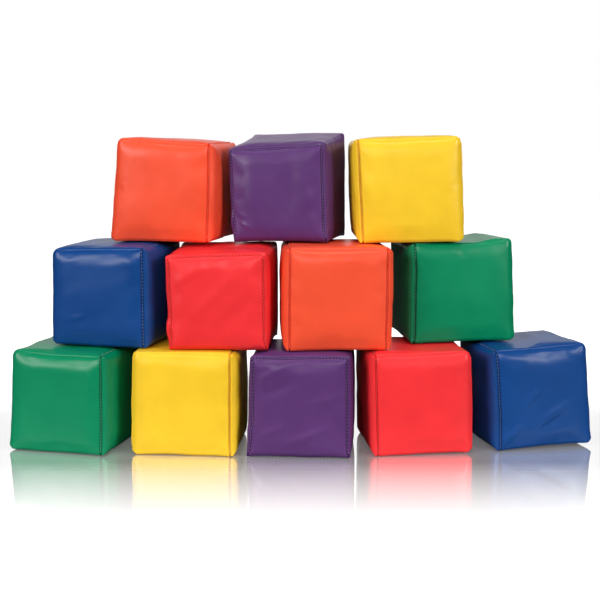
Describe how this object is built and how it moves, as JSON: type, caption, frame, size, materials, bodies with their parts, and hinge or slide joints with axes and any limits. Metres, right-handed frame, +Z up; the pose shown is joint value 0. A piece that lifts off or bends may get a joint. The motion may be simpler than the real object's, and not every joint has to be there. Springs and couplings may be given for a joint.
{
  "type": "soft play block set",
  "caption": "Stack of soft foam play cubes in sewn leather-look covers, built as a stepped wall. Cubes lift off or pull out, and each cover closes with a hidden zip.",
  "frame": {"origin": "on the floor, under the middle of the stack's bounding box", "axes": "+Z up, +X along the rows to the right as seen from the front, -Y towards the viewer, +Y to the rear"},
  "size_m": [0.7984, 0.2448, 0.4206],
  "materials": {
    "orange_leather": "semi-gloss coated fabric with a fine grain",
    "purple_leather": "semi-gloss coated fabric with a fine grain",
    "yellow_leather": "semi-gloss coated fabric with a fine grain",
    "blue_leather": "semi-gloss coated fabric with a fine grain",
    "red_leather": "semi-gloss coated fabric with a fine grain",
    "green_leather": "semi-gloss coated fabric with a fine grain",
    "foam": "cut closed-cell foam",
    "slider_metal": "plated zinc, satin"
  },
  "bodies": {
    "bottom_green_block": {"bottom_green_core": "foam", "bottom_green_band": "green_leather", "bottom_green_left_end": "green_leather", "bottom_green_right_end": "green_leather"},
    "bottom_green_zip_pull": {"bottom_green_slider": "slider_metal"},
    "bottom_yellow_block": {"bottom_yellow_core": "foam", "bottom_yellow_band": "yellow_leather", "bottom_yellow_left_end": "yellow_leather", "bottom_yellow_right_end": "yellow_leather"},
    "bottom_yellow_zip_pull": {"bottom_yellow_slider": "slider_metal"},
    "bottom_purple_block": {"bottom_purple_core": "foam", "bottom_purple_band": "purple_leather", "bottom_purple_front_end": "purple_leather", "bottom_purple_rear_end": "purple_leather"},
    "bottom_purple_zip_pull": {"bottom_purple_slider": "slider_metal"},
    "bottom_red_block": {"bottom_red_core": "foam", "bottom_red_band": "red_leather", "bottom_red_left_end": "red_leather", "bottom_red_right_end": "red_leather"},
    "bottom_red_zip_pull": {"bottom_red_slider": "slider_metal"},
    "bottom_blue_block": {"bottom_blue_core": "foam", "bottom_blue_band": "blue_leather", "bottom_blue_left_end": "blue_leather", "bottom_blue_right_end": "blue_leather"},
    "bottom_blue_zip_pull": {"bottom_blue_slider": "slider_metal"},
    "middle_blue_block": {"middle_blue_core": "foam", "middle_blue_band": "blue_leather", "middle_blue_left_end": "blue_leather", "middle_blue_right_end": "blue_leather"},
    "middle_blue_zip_pull": {"middle_blue_slider": "slider_metal"},
    "middle_red_block": {"middle_red_core": "foam", "middle_red_band": "red_leather", "middle_red_front_end": "red_leather", "middle_red_rear_end": "red_leather"},
    "middle_red_zip_pull": {"middle_red_slider": "slider_metal"},
    "middle_orange_block": {"middle_orange_core": "foam", "middle_orange_band": "orange_leather", "middle_orange_left_end": "orange_leather", "middle_orange_right_end": "orange_leather"},
    "middle_orange_zip_pull": {"middle_orange_slider": "slider_metal"},
    "middle_green_block": {"middle_green_core": "foam", "middle_green_band": "green_leather", "middle_green_left_end": "green_leather", "middle_green_right_end": "green_leather"},
    "middle_green_zip_pull": {"middle_green_slider": "slider_metal"},
    "top_orange_block": {"top_orange_core": "foam", "top_orange_band": "orange_leather", "top_orange_left_end": "orange_leather", "top_orange_right_end": "orange_leather"},
    "top_orange_zip_pull": {"top_orange_slider": "slider_metal"},
    "top_purple_block": {"top_purple_core": "foam", "top_purple_band": "purple_leather", "top_purple_front_end": "purple_leather", "top_purple_rear_end": "purple_leather"},
    "top_purple_zip_pull": {"top_purple_slider": "slider_metal"},
    "top_yellow_block": {"top_yellow_core": "foam", "top_yellow_band": "yellow_leather", "top_yellow_left_end": "yellow_leather", "top_yellow_right_end": "yellow_leather"},
    "top_yellow_zip_pull": {"top_yellow_slider": "slider_metal"}
  },
  "joints": [
    {"name": "pull_out_bottom_green", "type": "slide", "parent": "bottom_purple_block", "child": "bottom_green_block", "axis": [-0.2504, -0.9681, 0], "range_m": [0, 0.2]},
    {"name": "zip_bottom_green", "type": "slide", "parent": "bottom_green_block", "child": "bottom_green_zip_pull", "axis": [-0.9681, 0.2504, 0], "range_m": [0, 0.0974]},
    {"name": "pull_out_bottom_yellow", "type": "slide", "parent": "bottom_purple_block", "child": "bottom_yellow_block", "axis": [-0.0872, -0.9962, 0], "range_m": [0, 0.2]},
    {"name": "zip_bottom_yellow", "type": "slide", "parent": "bottom_yellow_block", "child": "bottom_yellow_zip_pull", "axis": [-0.9962, 0.0872, 0], "range_m": [0, 0.0974]},
    {"name": "zip_bottom_purple", "type": "slide", "parent": "bottom_purple_block", "child": "bottom_purple_zip_pull", "axis": [-0.0698, -0.9976, 0], "range_m": [0, 0.0974]},
    {"name": "pull_out_bottom_red", "type": "slide", "parent": "bottom_purple_block", "child": "bottom_red_block", "axis": [0.1132, -0.9936, 0], "range_m": [0, 0.2]},
    {"name": "zip_bottom_red", "type": "slide", "parent": "bottom_red_block", "child": "bottom_red_zip_pull", "axis": [-0.9936, -0.1132, 0], "range_m": [0, 0.0974]},
    {"name": "pull_out_bottom_blue", "type": "slide", "parent": "bottom_purple_block", "child": "bottom_blue_block", "axis": [0.225, -0.9744, 0], "range_m": [0, 0.2]},
    {"name": "zip_bottom_blue", "type": "slide", "parent": "bottom_blue_block", "child": "bottom_blue_zip_pull", "axis": [-0.9744, -0.225, 0], "range_m": [0, 0.0974]},
    {"name": "pull_out_middle_blue", "type": "slide", "parent": "bottom_purple_block", "child": "middle_blue_block", "axis": [-0.2588, -0.9659, 0], "range_m": [0, 0.2]},
    {"name": "zip_middle_blue", "type": "slide", "parent": "middle_blue_block", "child": "middle_blue_zip_pull", "axis": [-0.9659, 0.2588, 0], "range_m": [0, 0.0974]},
    {"name": "pull_out_middle_red", "type": "slide", "parent": "bottom_purple_block", "child": "middle_red_block", "axis": [-0.0785, -0.9969, 0], "range_m": [0, 0.2]},
    {"name": "zip_middle_red", "type": "slide", "parent": "middle_red_block", "child": "middle_red_zip_pull", "axis": [-0.0785, -0.9969, 0], "range_m": [0, 0.0974]},
    {"name": "pull_out_middle_orange", "type": "slide", "parent": "bottom_purple_block", "child": "middle_orange_block", "axis": [0.061, -0.9981, 0], "range_m": [0, 0.2]},
    {"name": "zip_middle_orange", "type": "slide", "parent": "middle_orange_block", "child": "middle_orange_zip_pull", "axis": [-0.9981, -0.061, 0], "range_m": [0, 0.0974]},
    {"name": "pull_out_middle_green", "type": "slide", "parent": "bottom_purple_block", "child": "middle_green_block", "axis": [0.1392, -0.9903, 0], "range_m": [0, 0.2]},
    {"name": "zip_middle_green", "type": "slide", "parent": "middle_green_block", "child": "middle_green_zip_pull", "axis": [-0.9903, -0.1392, 0], "range_m": [0, 0.0974]},
    {"name": "lift_top_orange", "type": "slide", "parent": "bottom_purple_block", "child": "top_orange_block", "axis": [0, 0, 1], "range_m": [0, 0.2]},
    {"name": "zip_top_orange", "type": "slide", "parent": "top_orange_block", "child": "top_orange_zip_pull", "axis": [-0.9781, 0.2079, 0], "range_m": [0, 0.0974]},
    {"name": "lift_top_purple", "type": "slide", "parent": "bottom_purple_block", "child": "top_purple_block", "axis": [0, 0, 1], "range_m": [0, 0.2]},
    {"name": "zip_top_purple", "type": "slide", "parent": "top_purple_block", "child": "top_purple_zip_pull", "axis": [-0.2164, -0.9763, 0], "range_m": [0, 0.0974]},
    {"name": "lift_top_yellow", "type": "slide", "parent": "bottom_purple_block", "child": "top_yellow_block", "axis": [0, 0, 1], "range_m": [0, 0.2]},
    {"name": "zip_top_yellow", "type": "slide", "parent": "top_yellow_block", "child": "top_yellow_zip_pull", "axis": [-0.9994, -0.0349, 0], "range_m": [0, 0.0974]}
  ]
}
